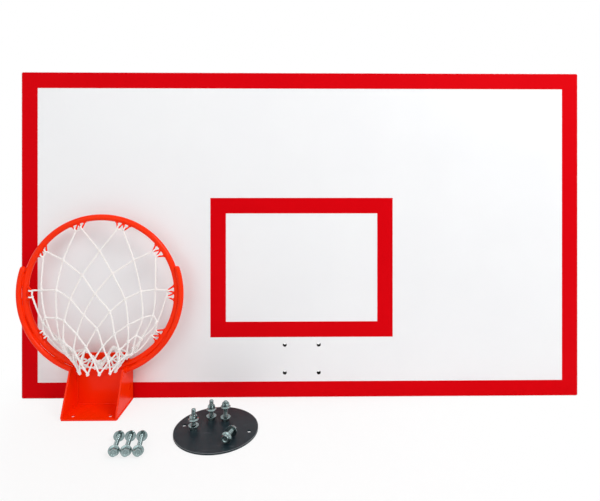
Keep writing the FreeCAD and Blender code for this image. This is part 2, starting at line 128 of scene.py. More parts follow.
@dataclass(frozen=True)
class Finish:
    """A surface finish, whose tone and gloss wander a little as on a real piece."""

    name: str
    colour: str
    second_colour: str
    roughness: float
    roughness_spread: float
    patch_mm: float
    peel_mm: float
    peel_height_mm: float
    edge_mm: float
    metallic: float = 0.0
    coat: float = 0.0
    coat_roughness: float = 0.2
    sheen: float = 0.0
    specular: float = 0.5
    patch_detail: float = 4.0
    patch_span: Span = (0.3, 0.7)
    peel_detail: float = 2.0
    peel_strength: float = 0.6
    edge_samples: int = 4

    def surface(self, tree: bpy.types.NodeTree) -> Sockets:
        """Lays the wandering tone, gloss and bump of the finish.

        Args:
            tree: The material's node tree.

        Returns:
            The sockets that feed the shader, by the names of its inputs.
        """
        place = add_node(tree, "ShaderNodeTexCoord").outputs["Object"]
        patch = add_node(tree, "ShaderNodeTexNoise",
                         values={"Scale": per_metre(self.patch_mm), "Detail": self.patch_detail},
                         links={"Vector": place}).outputs["Fac"]
        tone = add_node(tree, "ShaderNodeMix", {"data_type": "RGBA"},
                        {MIX_FIRST: linear(self.colour), MIX_SECOND: linear(self.second_colour)},
                        {MIX_SHARE: patch}).outputs[MIX_RESULT]
        gloss = add_node(tree, "ShaderNodeMapRange",
                         values={"From Min": self.patch_span[0], "From Max": self.patch_span[1],
                                 "To Min": self.roughness - self.roughness_spread,
                                 "To Max": self.roughness + self.roughness_spread},
                         links={"Value": patch}).outputs["Result"]
        soft = add_node(tree, "ShaderNodeBevel", {"samples": self.edge_samples},
                        {"Radius": self.edge_mm * MM}).outputs["Normal"]
        peel = add_node(tree, "ShaderNodeTexNoise",
                        values={"Scale": per_metre(self.peel_mm), "Detail": self.peel_detail},
                        links={"Vector": place}).outputs["Fac"]
        bump = add_node(tree, "ShaderNodeBump",
                        values={"Strength": self.peel_strength,
                                "Distance": self.peel_height_mm * MM},
                        links={"Height": peel, "Normal": soft}).outputs["Normal"]
        return {"Base Color": tone, "Roughness": gloss, "Normal": bump}

    def dress(self, tree: bpy.types.NodeTree, sockets: Sockets) -> Sockets:
        """Adds what only this finish has; the plain one adds nothing."""
        return sockets

    def material(self) -> bpy.types.Material:
        """Makes the material of this finish.

        Returns:
            A node material named for what the surface is.
        """
        made = bpy.data.materials.new(self.name)
        made.use_nodes = True
        tree = made.node_tree
        tree.nodes.clear()
        sockets = self.dress(tree, self.surface(tree))
        shader = add_node(tree, "ShaderNodeBsdfPrincipled",
                          values={"Metallic": self.metallic, "Coat Weight": self.coat,
                                  "Coat Roughness": self.coat_roughness,
                                  "Sheen Weight": self.sheen, "Specular IOR Level": self.specular},
                          links=sockets)
        add_node(tree, "ShaderNodeOutputMaterial", links={"Surface": shader.outputs[0]})
        return made


@dataclass(frozen=True)
class BlackEnamel(Finish):
    """Satin black paint on a blanked plate, scuffed, with a ragged painted highlight along its
    upper edge.
    """

    middle: Span = DISC_MIDDLE
    outer_mm: float = 117.0
    top_mm: float = DISC_TOP_MM
    # Painted highlight: a pale ragged line along the plate's upper edge, where the edge catches
    # the light
    highlight_mm: float = 1.1
    highlight_most: float = 0.4
    ragged_mm: float = 9.0
    ragged_detail: float = 5.0
    ragged_widths: float = 1.6
    start_widths: float = 1.7
    scuff_mm: float = 30.0
    scuff_stretch: Place = (0.4, 2.2, 1.0)
    scuff_detail: float = 6.0
    scuff_breakup: float = 0.7
    scuff_span: Span = (0.6, 0.76)
    scuff_most: float = 0.16
    # Pale grey of the painted highlight on the upper edge and of the bare steel in the scuffs
    painted_light_and_wear_colour: str = "#B9BDBF"

    def edge_highlight(self, tree: bpy.types.NodeTree,
                  place: bpy.types.NodeSocket) -> bpy.types.NodeSocket:
        """Finds the ragged line along the plate's upper edge where a highlight is painted.

        Args:
            tree: The material's node tree.
            place: The socket of the place on the plate.

        Returns:
            The socket of the share of bare steel.
        """
        level = add_node(tree, "ShaderNodeVectorMath", {"operation": "MULTIPLY"},
                         {1: (1.0, 1.0, 0.0)}, {0: place}).outputs["Vector"]
        reach = add_node(tree, "ShaderNodeVectorMath", {"operation": "DISTANCE"},
                         {1: (self.middle[0], self.middle[1], 0.0)}, {0: level}).outputs["Value"]
        ragged = add_node(tree, "ShaderNodeTexNoise",
                          values={"Scale": per_metre(self.ragged_mm),
                                  "Detail": self.ragged_detail},
                          links={"Vector": place}).outputs["Fac"]
        start = add_node(tree, "ShaderNodeMath", {"operation": "MULTIPLY_ADD"},
                         {1: self.highlight_mm * MM * self.ragged_widths,
                          2: (self.outer_mm - self.highlight_mm * self.start_widths) * MM},
                         {0: ragged}).outputs[0]
        highlight_share = add_node(tree, "ShaderNodeMapRange",
                        values={"From Max": self.outer_mm * MM, "To Min": 0.0,
                                "To Max": self.highlight_most},
                        links={"Value": reach, "From Min": start}).outputs["Result"]
        height = add_node(tree, "ShaderNodeSeparateXYZ", links={0: place}).outputs["Z"]
        upper = add_node(tree, "ShaderNodeMapRange",
                         values={"From Min": (self.top_mm - self.highlight_mm) * MM,
                                 "From Max": (self.top_mm - self.highlight_mm / 2) * MM},
                         links={"Value": height}).outputs["Result"]
        return add_node(tree, "ShaderNodeMath", {"operation": "MULTIPLY"},
                        links={0: highlight_share, 1: upper}).outputs[0]

    def scuffs(self, tree: bpy.types.NodeTree,
               place: bpy.types.NodeSocket) -> bpy.types.NodeSocket:
        """Finds the faint streaks that handling leaves on the paint.

        Args:
            tree: The material's node tree.
            place: The socket of the place on the plate.

        Returns:
            The socket of the share of bare steel.
        """
        drawn_out = add_node(tree, "ShaderNodeVectorMath", {"operation": "MULTIPLY"},
                             {1: self.scuff_stretch}, {0: place}).outputs["Vector"]
        rubbed = add_node(tree, "ShaderNodeTexNoise",
                          values={"Scale": per_metre(self.scuff_mm), "Detail": self.scuff_detail,
                                  "Roughness": self.scuff_breakup},
                          links={"Vector": drawn_out}).outputs["Fac"]
        return add_node(tree, "ShaderNodeMapRange",
                        values={"From Min": self.scuff_span[0], "From Max": self.scuff_span[1],
                                "To Min": 0.0, "To Max": self.scuff_most},
                        links={"Value": rubbed}).outputs["Result"]

    def dress(self, tree: bpy.types.NodeTree, sockets: Sockets) -> Sockets:
        """Paints a highlight along the plate's upper edge and scuffs its face.

        Args:
            tree: The material's node tree.
            sockets: The paint's sockets.

        Returns:
            The sockets with the painted highlight and the scuffs.
        """
        place = add_node(tree, "ShaderNodeTexCoord").outputs["Object"]
        marks = add_node(tree, "ShaderNodeMath", {"operation": "MAXIMUM"},
                         links={0: self.edge_highlight(tree, place),
                                1: self.scuffs(tree, place)}).outputs[0]
        # Mixes in the pale grey: a painted highlight along the upper edge, and scuffs on the face
        mixed = add_node(tree, "ShaderNodeMix", {"data_type": "RGBA"},
                         {MIX_SECOND: linear(self.painted_light_and_wear_colour)},
                         {MIX_SHARE: marks, MIX_FIRST: sockets["Base Color"]}).outputs[MIX_RESULT]
        return sockets | {"Base Color": mixed}


@dataclass(frozen=True)
class BoredLacquer(Finish):
    """White lacquer on plywood, with painted shade on the walls of its four drilled holes."""

    across_mm: float = 55.0
    up_mm: float = 45.0
    height_mm: float = 125.0
    bore_mm: float = 6.6
    # Near-black painted shade on the walls of the holes
    painted_light_and_wear_colour: str = "#120E0B"

    def dress(self, tree: bpy.types.NodeTree, sockets: Sockets) -> Sockets:
        """Paints shade on the walls of the holes and dulls them.

        Args:
            tree: The material's node tree.
            sockets: The lacquer's sockets.

        Returns:
            The sockets with the bare holes.
        """
        place = add_node(tree, "ShaderNodeTexCoord").outputs["Object"]
        flat = add_node(tree, "ShaderNodeVectorMath", {"operation": "MULTIPLY_ADD"},
                        {1: (1.0, 0.0, 1.0), 2: (0.0, 0.0, -self.height_mm * MM)},
                        {0: place}).outputs["Vector"]
        folded = add_node(tree, "ShaderNodeVectorMath", {"operation": "ABSOLUTE"},
                          links={0: flat}).outputs["Vector"]
        reach = add_node(tree, "ShaderNodeVectorMath", {"operation": "DISTANCE"},
                         {1: (self.across_mm * MM, 0.0, self.up_mm * MM)},
                         {0: folded}).outputs["Value"]
        bore = add_node(tree, "ShaderNodeMath", {"operation": "LESS_THAN"},
                        {1: self.bore_mm * MM}, {0: reach}).outputs[0]
        # Painted shade: the walls of the holes turn near black
        mixed = add_node(tree, "ShaderNodeMix", {"data_type": "RGBA"},
                         {MIX_SECOND: linear(self.painted_light_and_wear_colour)},
                         {MIX_SHARE: bore, MIX_FIRST: sockets["Base Color"]}).outputs[MIX_RESULT]
        dull = add_node(tree, "ShaderNodeMath", {"operation": "MAXIMUM"},
                        links={0: bore, 1: sockets["Roughness"]}).outputs[0]
        return sockets | {"Base Color": mixed, "Roughness": dull}


@dataclass(frozen=True)
class HollowShadedZinc(Finish):
    """Bright zinc plating, with painted shade laid dark in its threads and corners."""

    hollow_mm: float = 9.0
    hollow_samples: int = 8
    open_span: Span = (0.4, 0.95)
    shade_most: float = 0.9
    # Painted shade: the dark colour laid into the threads, the corners and under the flanges
    hollow_shade_colour: str = "#182224"

    def dress(self, tree: bpy.types.NodeTree, sockets: Sockets) -> Sockets:
        """Paints shade into the hollows of the piece.

        Args:
            tree: The material's node tree.
            sockets: The plating's sockets.

        Returns:
            The sockets with the painted shade in the hollows.
        """
        # Painted shade from ambient occlusion: the more closed in a spot is, the darker it gets
        openness = add_node(tree, "ShaderNodeAmbientOcclusion",
                        {"samples": self.hollow_samples, "only_local": True},
                        {"Distance": self.hollow_mm * MM}).outputs["AO"]
        painted_shade = add_node(tree, "ShaderNodeMapRange",
                       values={"From Min": self.open_span[0], "From Max": self.open_span[1],
                               "To Min": self.shade_most, "To Max": 0.0},
                       links={"Value": openness}).outputs["Result"]
        mixed = add_node(tree, "ShaderNodeMix", {"data_type": "RGBA"},
                         {MIX_SECOND: linear(self.hollow_shade_colour)},
                         {MIX_SHARE: painted_shade, MIX_FIRST: sockets["Base Color"]}).outputs[MIX_RESULT]
        return sockets | {"Base Color": mixed}


@dataclass(frozen=True)
class TwistedNylon(Finish):
    """Laid nylon twine: white, dull, with fine fibres over its three strands."""

    fibre_mm: float = 0.9
    fibre_height_mm: float = 0.4
    fibre_detail: float = 6.0
    fibre_strength: float = 0.5

    def dress(self, tree: bpy.types.NodeTree, sockets: Sockets) -> Sockets:
        """Adds the fibres, drawn coarser than real ones so that they show.

        Args:
            tree: The material's node tree.
            sockets: The twine's sockets.

        Returns:
            The sockets with the fibres.
        """
        place = add_node(tree, "ShaderNodeTexCoord").outputs["Object"]
        fibres = add_node(tree, "ShaderNodeTexNoise",
                          values={"Scale": per_metre(self.fibre_mm), "Detail": self.fibre_detail},
                          links={"Vector": place}).outputs["Fac"]
        rough = add_node(tree, "ShaderNodeBump",
                         values={"Strength": self.fibre_strength,
                                 "Distance": self.fibre_height_mm * MM},
                         links={"Height": fibres, "Normal": sockets["Normal"]}).outputs["Normal"]
        return sockets | {"Normal": rough}


# White lacquer rolled on birch plywood: a soft satin face with a faint roller texture
LACQUER = BoredLacquer("white_lacquer_on_plywood", "#EDEEF0", "#F3F4F5", roughness=0.42,
                       roughness_spread=0.05, patch_mm=240.0, peel_mm=3.0, peel_height_mm=0.05,
                       edge_mm=1.2)
# Cut vinyl film: an even, slightly silky red that mirrors little
FILM = Finish("red_vinyl_film", "#DA000C", "#D2000A", roughness=0.55, roughness_spread=0.05,
              patch_mm=180.0, peel_mm=2.2, peel_height_mm=0.03, edge_mm=0.3, specular=0.03)
# Powder coat baked on steel: a deep, glossy orange with a fine orange peel
POWDER = Finish("orange_powder_coat", "#FE3200", "#FA2C00", roughness=0.3, roughness_spread=0.05,
                patch_mm=60.0, peel_mm=2.4, peel_height_mm=0.05, edge_mm=1.0, coat=0.18,
                specular=0.04)
# Bright zinc plating: a cool, faintly green-blue metal with cloudy gloss, with painted shade dark
# in its hollows
ZINC = HollowShadedZinc("bright_zinc_plated_steel", "#AFC0BF", "#6C8385", roughness=0.22,
                 roughness_spread=0.08, patch_mm=7.0, peel_mm=1.2, peel_height_mm=0.02,
                 edge_mm=0.25, metallic=1.0)
# Satin enamel: a blue-black with a thin, ragged painted highlight along its upper edge
ENAMEL = BlackEnamel("satin_black_enamel", "#0A1D24", "#0F2229", roughness=0.42,
                     roughness_spread=0.06, patch_mm=40.0, peel_mm=1.6, peel_height_mm=0.03,
                     edge_mm=0.6, specular=0.3)
# Nylon twine: white and matt, with a soft sheen along the strands
TWINE = TwistedNylon("white_nylon_twine", "#FAF8F6", "#F2EFEC", roughness=0.8,
                     roughness_spread=0.06, patch_mm=30.0, peel_mm=1.4, peel_height_mm=0.05,
                     edge_mm=0.1, sheen=0.3)


# Helpers for nodes and pieces

def dress_nodes(nodes: dict[str, Finish]) -> None:
    """Gives CAD nodes their materials.

    Args:
        nodes: The finish of each node.
    """
    for node, finish in nodes.items():
        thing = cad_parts[node]
        thing.data.materials.clear()
        thing.data.materials.append(bpy.data.materials.get(finish.name) or finish.material())
        LOG.info("node %s: %s", node, finish.name)


def add_piece(name: str, mesh: Mesh, material: bpy.types.Material, body: str,
              replaced: Sequence[str] = ()) -> bpy.types.Object:
    """Adds one visual piece to the scene and ties it to its body.

    Args:
        name: The piece's name.
        mesh: Its points and faces.
        material: Its finish.
        body: The body that it rides on.
        replaced: The CAD nodes that it stands for.

    Returns:
        The new object.
    """
    data = bpy.data.meshes.new(name)
    data.from_pydata([tuple(p) for p in mesh[0]], [], mesh[1])
    data.validate()
    data.update()
    data.shade_smooth()
    data.materials.append(material)
    piece = bpy.data.objects.new(name, data)
    bpy.context.scene.collection.objects.link(piece)
    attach(piece, body)
    if replaced:
        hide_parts(*replaced)
    LOG.info("piece %s: %d points", name, len(mesh[0]))
    return piece


def sharp_edges(piece: bpy.types.Object, degrees: float) -> None:
    """Keeps a piece's edges crisp where its faces meet at more than an angle."""
    piece.data.set_sharp_from_angle(angle=math.radians(degrees))


def joined(parts: Sequence[Mesh]) -> Mesh:
    """Puts several meshes into one.

    Args:
        parts: The meshes.

    Returns:
        One mesh with all their points and faces.
    """
    points: list[Vector] = []
    faces: list[tuple[int, ...]] = []
    for some_points, some_faces in parts:
        shift = len(points)
        points.extend(some_points)
        faces.extend(tuple(i + shift for i in f) for f in some_faces)
    return points, faces


def grid_faces(rows: int, sides: int, shut: bool) -> list[tuple[int, ...]]:
    """Gives the faces of rings of points that follow each other.

    Args:
        rows: How many rings there are.
        sides: How many points a ring has.
        shut: Whether the first and last rings get end faces.

    Returns:
        The faces as rows of point numbers.
    """
    faces = []
    for row in range(rows - 1):
        for i in range(sides):
            j = (i + 1) % sides
            a = row * sides
            faces.append((a + i, a + j, a + sides + j, a + sides + i))
    if shut:
        faces.append(tuple(reversed(range(sides))))
        faces.append(tuple(range((rows - 1) * sides, rows * sides)))
    return faces


def whole_turn(steps: int) -> list[float]:
    """Gives the angles of one whole turn in equal steps, both ends included."""
    return [2 * math.pi * k / steps for k in range(steps + 1)]


def tube(path: Sequence[Vector], reach: Section, sides: int) -> Mesh:
    """Sweeps a section along a path without letting it spin.

    Args:
        path: The points of the centre line.
        reach: Gives the radius from the run along the path and the turn round it.
        sides: How many points a section has.

    Returns:
        A closed tube.
    """
    too_short = 0.1
    points: list[Vector] = []
    way = (path[1] - path[0]).normalized()
    side = way.cross(Vector((0, 1, 0)))
    if side.length < too_short:
        side = way.cross(Vector((1, 0, 0)))
    side.normalize()
    run = 0.0
    for index, point in enumerate(path):
        before = path[max(index - 1, 0)]
        after = path[min(index + 1, len(path) - 1)]
        run += (point - before).length
        new_way = (after - before).normalized()
        side = way.rotation_difference(new_way) @ side
        way = new_way
        other = way.cross(side)
        for k in range(sides):
            turn = 2 * math.pi * k / sides
            spoke = side * math.cos(turn) + other * math.sin(turn)
            points.append(point + spoke * reach(run, turn))
    return points, grid_faces(len(path), sides, True)


def smooth_path(knots: Sequence[Vector], step: float, sag: float) -> list[Vector]:
    """Draws a smooth line through points, which sags a little between them.

    Args:
        knots: The points that the line goes through.
        step: The distance between the points given back.
        sag: How far a run of the line drops for each metre of its length.

    Returns:
        Points along the line.
    """
    shortest = 1e-9
    line: list[Vector] = []
    last = len(knots) - 1
    for index in range(last):
        a, b = knots[index], knots[index + 1]
        before = knots[index - 1] if index else a * 2 - b
        after = knots[index + 2] if index + 2 <= last else b * 2 - a
        pull_in = (b - before) * 0.5
        pull_out = (after - a) * 0.5
        length = (b - a).length
        flat = math.hypot(b.x - a.x, b.y - a.y) / max(length, shortest)
        count = max(2, round(length / step))
        for k in range(count):
            t = k / count
            point = (a * (2 * t ** 3 - 3 * t ** 2 + 1) + pull_in * (t ** 3 - 2 * t ** 2 + t)
                     + b * (3 * t ** 2 - 2 * t ** 3) + pull_out * (t ** 3 - t ** 2))
            line.append(point - Vector((0, 0, sag * length * flat * 4 * t * (1 - t))))
    line.append(knots[-1])
    return line


# Sub-assemblies

@dataclass
class Board:
    """The plywood panel with its two film lines."""

    nodes: dict[str, Finish] = field(default_factory=lambda: {
        "board_panel": LACQUER, "border_line": FILM, "target_square": FILM})

    def dress(self) -> None:
        """Gives the panel and the lines their finishes."""
        dress_nodes(self.nodes)


@dataclass
class Rim:
    """The welded rim: bracket, ring, braces and net hooks, with the beads that hold them."""

    # Ring, braces and bracket, as in the CAD
    middle: Vector = field(default_factory=lambda: Vector((-0.623, -0.060, 0.352)))
    mean: float = 0.2345
    bar: float = 0.0095
    brace_bar: float = 0.008
    brace_out: float = 0.0145
    plate_half: float = 0.082
    plate_front: float = -0.1465
    plate_rear: float = -0.0165
    plate_top: float = 0.005
    sheet: float = 0.005
    web_rear: float = -0.0505
    hook_slant: float = math.radians(25.0)
    hook_step: float = math.radians(36.0)
    hook_half: float = 0.022
    hook_count: int = 10
    # The web's upper lip
    lip_low: float = 0.100
    lip_top: float = 0.164
    lip_inset: float = 0.0002
    lip_corner: float = 0.006
    lip_ease: float = 0.0006
    lip_bends: int = 6
    lip_sharp: float = 20.0
    # Weld beads of the bracket
    bead: float = 0.0026
    bead_sides: int = 8
    bead_step: float = 0.0009
    bead_inset: float = 0.004
    web_bead: float = 0.105
    ripple: float = 0.0035
    ripple_share: float = 0.1
    # Seams along the ring, with outs in shares of the bar's radius and steps in radians
    seam_tilts: tuple[float, ...] = tuple(math.radians(tilt) for tilt in (63.0, 117.0, 152.0))
    seam_out: float = 1.02
    seam_step: float = 0.0035
    seam_half: int = 92
    # Stitches along the braces, seams at their ends and beads at the hooks
    stitch_places: tuple[float, ...] = (0.55, 0.95, 1.35, 1.75)
    stitch_rises: Span = (-0.32, 0.32)
    stitch_out: float = 1.08
    stitch_step: float = 0.004
    stitch_half: int = 18
    brace_gap: float = 0.0003
    brace_seam_off: float = 0.0006
    brace_seam_out: float = 0.0004
    brace_seam_steps: int = 60
    hook_bead_out: float = 0.0004
    hook_bead_step: float = 0.0007
    hook_bead_half: int = 7
    nodes: tuple[str, ...] = ("mount_plate", "top_plate", "left_gusset", "right_gusset", "ring",
                              "left_brace", "right_brace", "net_hooks")

    def dress(self) -> None:
        """Coats the rim, raises its web into the ring and lays its weld beads."""
        dress_nodes({node: POWDER for node in self.nodes})
        coat = bpy.data.materials[POWDER.name]
        lip = add_piece("web_lip", self.lip(), coat, "rim")
        sharp_edges(lip, self.lip_sharp)
        add_piece("bracket_welds", joined(self.bracket_beads()), coat, "rim")
        add_piece("brace_welds", joined(self.brace_beads()), coat, "rim")
        add_piece("hook_welds", joined(self.hook_beads()), coat, "rim")

    def lip(self) -> Mesh:
        """Builds the web's upper edge, which stands up inside the ring behind the net.

        Returns:
            A sheet with rounded corners and eased edges.
        """
        front = self.web_rear - self.sheet + self.lip_inset
        rear = self.web_rear - self.lip_inset
        rows = ((front, self.lip_ease), (front + self.lip_ease, 0.0),
                (rear - self.lip_ease, 0.0), (rear, self.lip_ease))
        points: list[Vector] = []
        for y, ease in rows:
            half = self.plate_half - self.lip_inset - ease
            corner = self.lip_corner - ease
            low, high = self.lip_low + ease, self.lip_top - ease
            turns = [math.pi / 2 * k / self.lip_bends for k in range(self.lip_bends + 1)]
            bend = [(half - corner * (1 - math.cos(t)), high - corner * (1 - math.sin(t)))
                    for t in turns]
            outline = [(-half, low), *((-x, z) for x, z in bend), *reversed(bend), (half, low)]
            points.extend(Vector((self.middle.x + x, y, z)) for x, z in outline)
        return points, grid_faces(len(rows), len(points) // len(rows), True)

    def bead_reach(self, run: float, turn: float) -> float:
        """Gives the bead's radius, which swells with each ripple."""
        swell = math.cos(2 * math.pi * run / self.ripple)
        return self.bead * (1 - self.ripple_share + self.ripple_share * swell)

    def bead_along(self, path: Sequence[Vector]) -> Mesh:
        """Lays one rippled bead along a path."""
        return tube(path, self.bead_reach, self.bead_sides)

    def straight_bead(self, start: Place, end: Place) -> Mesh:
        """Lays one straight rippled bead.

        Args:
            start: Where it begins.
            end: Where it ends.

        Returns:
            The bead.
        """
        first, last = Vector(start), Vector(end)
        count = max(3, round((last - first).length / self.bead_step))
        return self.bead_along([first.lerp(last, k / count) for k in range(count + 1)])

    def bracket_beads(self) -> list[Mesh]:
        """Lays the beads between the mounting plate, the gussets, the web and the ring.

        Returns:
            The beads.
        """
        beads = []
        low = self.plate_top
        web_faces = (self.web_rear, self.web_rear - self.sheet)
        for side in (-1, 1):
            outer = self.middle.x + side * self.plate_half
            inner = self.middle.x + side * (self.plate_half - self.sheet)
            for x in (outer, inner):
                beads.append(self.straight_bead((x, self.plate_front + self.bead_inset, low),
                                                (x, self.plate_rear - self.bead_inset, low)))
            for y in web_faces:
                beads.append(self.straight_bead((inner, y, low), (inner, y, low + self.web_bead)))
        for y in web_faces:
            left = self.middle.x - self.plate_half + self.sheet
            right = self.middle.x + self.plate_half - self.sheet
            beads.append(self.straight_bead((left, y, low), (right, y, low)))
        for tilt in self.seam_tilts:
            beads.append(self.bead_along([
                self.on_ring(math.pi + t * self.seam_step, self.bar * self.seam_out, tilt)
                for t in range(-self.seam_half, self.seam_half + 1)]))
        return beads

    def on_ring(self, angle: float, out: float, tilt: float) -> Vector:
        """Finds a point by the ring's bar.

        Args:
            angle: The angle from the ring's top.
            out: The distance from the bar's middle.
            tilt: The turn round the bar from straight outwards towards the board.

        Returns:
            The point.
        """
        radius = self.mean + out * math.cos(tilt)
        return self.middle + Vector((math.sin(angle) * radius, out * math.sin(tilt),
                                     math.cos(angle) * radius))

    def brace_beads(self) -> list[Mesh]:
        """Lays stitches between each brace and the ring, and a seam round its gusset end.

        Returns:
            The beads.
        """
        apart = self.bar + self.brace_bar + self.brace_gap
        drop = math.sqrt(apart ** 2 - self.brace_out ** 2)
        tilt = -math.atan2(drop, self.brace_out)
        radius = self.mean + self.brace_out
        foot = self.plate_half + self.brace_seam_off
        turn = math.asin(foot / radius)
        beads = []
        for side in (-1, 1):
            for centre in self.stitch_places:
                for rise in self.stitch_rises:
                    beads.append(self.bead_along([
                        self.on_ring(math.pi - side * (centre + t * self.stitch_step),
                                     self.bar * self.stitch_out, tilt + rise)
                        for t in range(-self.stitch_half, self.stitch_half + 1)]))
            end = self.middle + Vector((side * foot, -drop, -math.cos(turn) * radius))
            reach = self.brace_bar + self.brace_seam_out
            beads.append(self.bead_along([end + Vector((0.0, math.cos(t), math.sin(t))) * reach
                                          for t in whole_turn(self.brace_seam_steps)]))
        return beads

    def hook_point(self, angle: float, along: float, out: float) -> Vector:
        """Finds a point on a hook.

        Args:
            angle: The hook's angle from the ring's top.
            along: The run along the bar.
            out: The distance from the bar's middle.

        Returns:
            The point.
        """
        turn = angle + along / self.mean
        radius = self.mean - out * math.cos(self.hook_slant)
        spoke = Vector((math.sin(turn), 0, math.cos(turn))) * radius
        return self.middle + spoke - Vector((0, out * math.sin(self.hook_slant), 0))

    def hook_angles(self) -> list[float]:
        """Gives the angle of each hook from the ring's top."""
        return [(number + 0.5) * self.hook_step for number in range(self.hook_count)]

    def hook_beads(self) -> list[Mesh]:
        """Sets a short bead at each place where a hook meets the ring.

        Returns:
            The beads.
        """
        out = self.bar + self.hook_bead_out
        steps = range(-self.hook_bead_half, self.hook_bead_half + 1)
        beads = []
        for angle in self.hook_angles():
            for along in (-self.hook_half, 0.0, self.hook_half):
                beads.append(self.bead_along([
                    self.hook_point(angle, along + t * self.hook_bead_step, out) for t in steps]))
        return beads


@dataclass
class Net:
    """The knotted net: twisted cords that cross in knots and loop round the hooks' tips."""

    rim: Rim
    # The hanging form, from the hooks to the low end
    rows: int = 8
    ease: float = 1.35
    hook_wire: float = 0.0025
    hook_tip: float = 0.0255
    seat_gap: float = 0.0003
    end_half: float = 0.056
    end_deep: float = 0.025
    end_height: float = 0.128
    end_shift: float = 0.006
    end_front: float = 0.104
    # Slack and folds of the lower cords, and how far each crossing strays along x, y and z
    slack: float = 0.024
    fold: float = 0.026
    slack_reach: int = 4
    stray: float = 0.005
    stray_shares: Place = (1.0, 0.7, 1.0)
    stray_turns: tuple[int, int, int] = (3, 2, 5)
    stray_row_turns: Place = (1.7, -1.1, 2.6)
    stray_starts: Place = (0.0, 1.0, 2.0)
    # Laid cord
    cord: float = 0.0027
    cord_sides: int = 12
    strands: int = 3
    strand_depth: float = 0.13
    lay: float = 0.015
    step: float = 0.0025
    sag: float = 0.035
    # Knots and the loops round the hooks
    row_probe: float = 0.1
    knot_lean: Place = (0.3, 1.0, 0.2)
    knot_wrap: float = 0.0031
    knot_taper: float = 0.12
    knot_cord: float = 0.0021
    knot_strand_depth: float = 0.08
    knot_lay: float = 900.0
    knot_turns: float = 2.4
    knot_spread: int = 3
    knot_length: float = 0.0095
    knot_steps: int = 44
    knot_sides: int = 8
    core: float = 0.0028
    core_runs: tuple[float, ...] = (-0.0045, -0.002, 0.002, 0.0045)
    loop_steps: int = 40
    loop_share: float = 0.96
    loop_probe: float = 0.01

    @property
    def seat(self) -> float:
        """Gives how far out of the bar's middle a cord rests on a hook."""
        return self.hook_tip + self.hook_wire + self.seat_gap + self.cord

    def point(self, angle: float, row: float) -> Vector:
        """Finds a point of the hanging net.

        Args:
            angle: The angle from the ring's top.
            row: The row from the hooks down.

        Returns:
            The point.
        """
        down = row / self.rows
        share = down * (self.ease - (self.ease - 1) * down)
        mouth = self.rim.hook_point(angle, 0, self.seat)
        end = Vector((self.rim.middle.x + self.end_shift + self.end_half * math.sin(angle),
                      -self.end_front - self.end_deep * math.cos(angle), self.end_height))
        low = (1 - math.cos(angle)) / 2
        loose = math.sin(math.pi * share)
        fold = self.slack + self.fold * math.cos(math.pi * row)
        slack = fold * low ** self.slack_reach * loose
        waves = zip(self.stray_shares, self.stray_turns, self.stray_row_turns, self.stray_starts)
        stray = Vector([part * math.sin(turns * angle + row_turns * row + start)
                        for part, turns, row_turns, start in waves]) * (self.stray * loose)
        return mouth * (1 - share) + end * share + Vector((0, 0, slack)) + stray

    def cord_reach(self, run: float, turn: float) -> float:
        """Gives the cord's radius, which shows its strands as they wind along it."""
        wound = self.strands * (turn - 2 * math.pi * run / self.lay / self.strands)
        return self.cord * (1 - self.strand_depth + self.strand_depth * math.cos(wound))

    def loop_reach(self, run: float, turn: float) -> float:
        """Gives the radius of the cord where it is drawn tight round a hook."""
        return self.cord_reach(run, turn) * self.loop_share

    def knot_reach(self, run: float, turn: float) -> float:
        """Gives the radius of the cord that is wound into a knot."""
        wound = math.cos(self.strands * turn - run * self.knot_lay)
        return self.knot_cord * (1 - self.knot_strand_depth + self.knot_strand_depth * wound)

    def core_reach(self, run: float, turn: float) -> float:
        """Gives the radius of the plain middle of a knot."""
        return self.core

    def cord_mesh(self, angle: float) -> Mesh:
        """Makes one cord, from its one end up over a hook and down to the other.

        Args:
            angle: The angle of the hook that it hangs on.

        Returns:
            The cord.
        """
        tip = self.rim.hook_half / 2
        halves = []
        for side in (-1, 1):
            half = [self.rim.hook_point(angle, side * (tip - self.cord), self.seat),
                    self.rim.hook_point(angle, side * (tip + self.cord), self.seat + self.cord)]
            half.extend(self.point(angle + side * row * self.rim.hook_step / 2, row)
                        for row in range(1, self.rows + 1))
            halves.append(half)
        path = smooth_path(halves[0][::-1] + halves[1], self.step, self.sag)
        return tube(path, self.cord_reach, self.cord_sides)

    def knot(self, angle: float, row: float) -> Mesh:
        """Ties one knot: a cord wound round the crossing.

        Args:
            angle: The crossing's angle from the ring's top.
            row: The crossing's row.

        Returns:
            The knot.
        """
        point = self.point(angle, row)
        below = self.point(angle, row + self.row_probe)
        above = self.point(angle, row - self.row_probe)
        down = (below - above).normalized()
        side = down.cross(Vector(self.knot_lean)).normalized()
        other = down.cross(side)
        path = []
        for k in range(self.knot_steps + 1):
            t = k / self.knot_steps
            turn = 2 * math.pi * self.knot_turns * t + angle * self.knot_spread + row
            swell = math.sin(math.pi * (self.knot_taper + (1 - 2 * self.knot_taper) * t)) ** 0.5
            spoke = side * math.cos(turn) + other * math.sin(turn)
            path.append(point + down * ((t - 0.5) * self.knot_length)
                        + spoke * (self.knot_wrap * swell))
        middle = [point + down * run for run in self.core_runs]
        return joined([tube(path, self.knot_reach, self.knot_sides),
                       tube(middle, self.core_reach, self.knot_sides)])

    def hook_loop(self, angle: float, side: int) -> Mesh:
        """Makes the small loop of cord round one tip of a hook.

        Args:
            angle: The hook's angle from the ring's top.
            side: Which of its two tips, minus or plus one.

        Returns:
            The loop.
        """
        run = side * self.rim.hook_half / 2
        tip = self.rim.hook_point(angle, run, self.hook_tip)
        out = (self.rim.hook_point(angle, run, self.hook_tip + self.loop_probe) - tip).normalized()
        along = Vector((math.cos(angle), 0, -math.sin(angle)))
        cross = along.cross(out).normalized()
        reach = self.hook_wire + self.cord + self.seat_gap
        path = [tip + (out * math.cos(t) + cross * math.sin(t)) * reach
                for t in whole_turn(self.loop_steps)]
        return tube(path, self.loop_reach, self.cord_sides)

